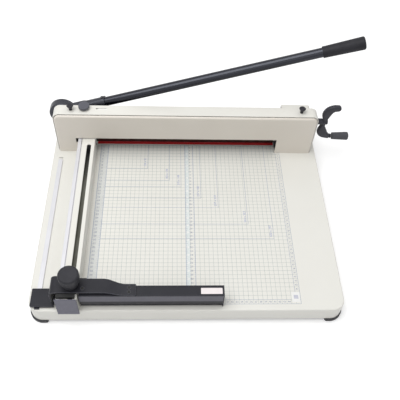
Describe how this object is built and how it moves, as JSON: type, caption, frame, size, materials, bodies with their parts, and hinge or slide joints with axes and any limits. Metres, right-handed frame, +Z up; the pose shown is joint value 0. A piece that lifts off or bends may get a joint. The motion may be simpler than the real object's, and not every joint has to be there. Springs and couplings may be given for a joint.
{
  "type": "stack paper cutter",
  "caption": "Manual guillotine stack paper cutter: cream table with side guide and sliding back gauge, long black cutting lever, crank-driven paper clamp and red cutting stick.",
  "frame": {"origin": "on the surface it stands on, under the middle of its bounding box at rest", "axes": "+X along the cut towards the crank, +Y from the paper table to the lever, +Z up"},
  "size_m": [0.7425, 0.57, 0.3591],
  "materials": {
    "table_enamel": "cream enamel, satin",
    "cover_enamel": "cream enamel, satin",
    "lever_enamel": "gloss black enamel",
    "black_metal": "satin black coating",
    "steel": "ground steel",
    "dark_steel": "blackened steel",
    "strip_metal": "satin anodised",
    "column_metal": "cast, machined where it guides",
    "black_plastic": "fine texture",
    "grip_plastic": "fine texture",
    "red_plastic": "red cutting stick",
    "clamp_rubber": "thin pad",
    "foot_rubber": "moulded",
    "bush_brass": "plain bearing"
  },
  "bodies": {
    "base": {"base_table": "table_enamel", "cross_channel_1": "table_enamel", "cross_channel_2": "table_enamel", "foot_1": "foot_rubber", "foot_2": "foot_rubber", "foot_3": "foot_rubber", "foot_4": "foot_rubber", "foot_screws": "steel", "bed_bar": "dark_steel", "cutting_stick": "red_plastic", "column_bolts": "dark_steel", "left_column": "column_metal", "right_column": "column_metal", "idler_stud": "steel", "front_cover": "cover_enamel", "top_cover": "cover_enamel", "guide_cover": "cover_enamel", "thumb_screws": "black_plastic", "guide_rail": "table_enamel", "inner_rail": "dark_steel", "high_strip": "strip_metal", "low_strip": "strip_metal", "strip_end": "black_metal", "guide_end_plate": "black_metal", "pivot_shaft": "steel", "pivot_nut": "dark_steel"},
    "lever": {"lever_arm": "lever_enamel", "lever_bush": "bush_brass", "drive_pin": "steel", "lever_tube": "lever_enamel", "tube_screw": "dark_steel", "lever_grip": "grip_plastic"},
    "carrier": {"blade_carrier": "black_metal", "carrier_bush": "bush_brass", "blade": "steel", "blade_screws": "dark_steel", "roller_pin": "steel"},
    "roller": {"guide_roller": "steel"},
    "clamp": {"clamp_beam": "black_metal", "clamp_pad": "clamp_rubber", "rack_1": "steel", "rack_2": "steel"},
    "pinions": {"pinion_shaft": "steel", "shaft_gear": "steel"},
    "idler": {"idler_gear": "steel"},
    "crank": {"crank_shaft": "steel", "crank_gear": "steel", "crank_arm": "black_metal", "grip_pin": "steel"},
    "crank_handle": {"crank_grip": "black_plastic"},
    "stop_screw": {"stop_knob": "black_plastic"},
    "gauge": {"gauge_side_plate": "black_metal", "gauge_bracket": "black_metal", "gauge_slider": "dark_steel", "gauge_bar": "black_metal", "gauge_bar_cap": "black_plastic", "gauge_screws": "dark_steel", "tee_bolt": "steel"},
    "gauge_lock": {"gauge_knob": "black_plastic"}
  },
  "joints": [
    {"name": "lever_swing", "type": "hinge", "parent": "base", "child": "lever", "pos_m": [-0.33925, 0.2175, 0.1272], "axis": [0, -1, 0], "range_deg": [0, 62]},
    {"name": "carrier_swing", "type": "hinge", "parent": "lever", "child": "carrier", "pos_m": [-0.28356, 0.19975, 0.13305], "axis": [0, -1, 0], "range_deg": [-62, 0]},
    {"name": "roller_spin", "type": "hinge", "parent": "carrier", "child": "roller", "pos_m": [0.24625, 0.1895, 0.098], "axis": [0, -1, 0], "continuous": true},
    {"name": "clamp_slide", "type": "slide", "parent": "base", "child": "clamp", "axis": [0, 0, -1], "range_m": [0, 0.0482]},
    {"name": "pinion_spin", "type": "hinge", "parent": "base", "child": "pinions", "pos_m": [-0.25975, 0.168, 0.113], "axis": [1, 0, 0], "range_deg": [-461, 0]},
    {"name": "idler_spin", "type": "hinge", "parent": "base", "child": "idler", "pos_m": [0.27175, 0.17357, 0.128], "axis": [1, 0, 0], "range_deg": [0, 359]},
    {"name": "crank_turn", "type": "hinge", "parent": "base", "child": "crank", "pos_m": [0.27175, 0.1735, 0.146], "axis": [1, 0, 0], "range_deg": [-359, 0]},
    {"name": "crank_grip_spin", "type": "hinge", "parent": "crank", "child": "crank_handle", "pos_m": [0.33025, 0.17877, 0.09125], "axis": [1, 0, 0], "continuous": true},
    {"name": "stop_screw_turn", "type": "hinge", "parent": "base", "child": "stop_screw", "pos_m": [-0.27995, 0.1835, 0.17], "axis": [0, 0, 1], "range_deg": [-180, 180]},
    {"name": "gauge_slide", "type": "slide", "parent": "base", "child": "gauge", "axis": [0, 1, 0], "range_m": [-0.004, 0.38]},
    {"name": "gauge_knob_turn", "type": "hinge", "parent": "gauge", "child": "gauge_lock", "pos_m": [-0.27275, -0.2505, 0.103], "axis": [0, 0, 1], "range_deg": [-180, 180]}
  ],
  "couplings": [
    {"joint": "carrier_swing", "follows": "lever_swing", "ratio": -1},
    {"joint": "pinion_spin", "follows": "clamp_slide", "rad_per_m": -166.67},
    {"joint": "idler_spin", "follows": "clamp_slide", "rad_per_m": 129.63},
    {"joint": "crank_turn", "follows": "clamp_slide", "rad_per_m": -129.63}
  ]
}
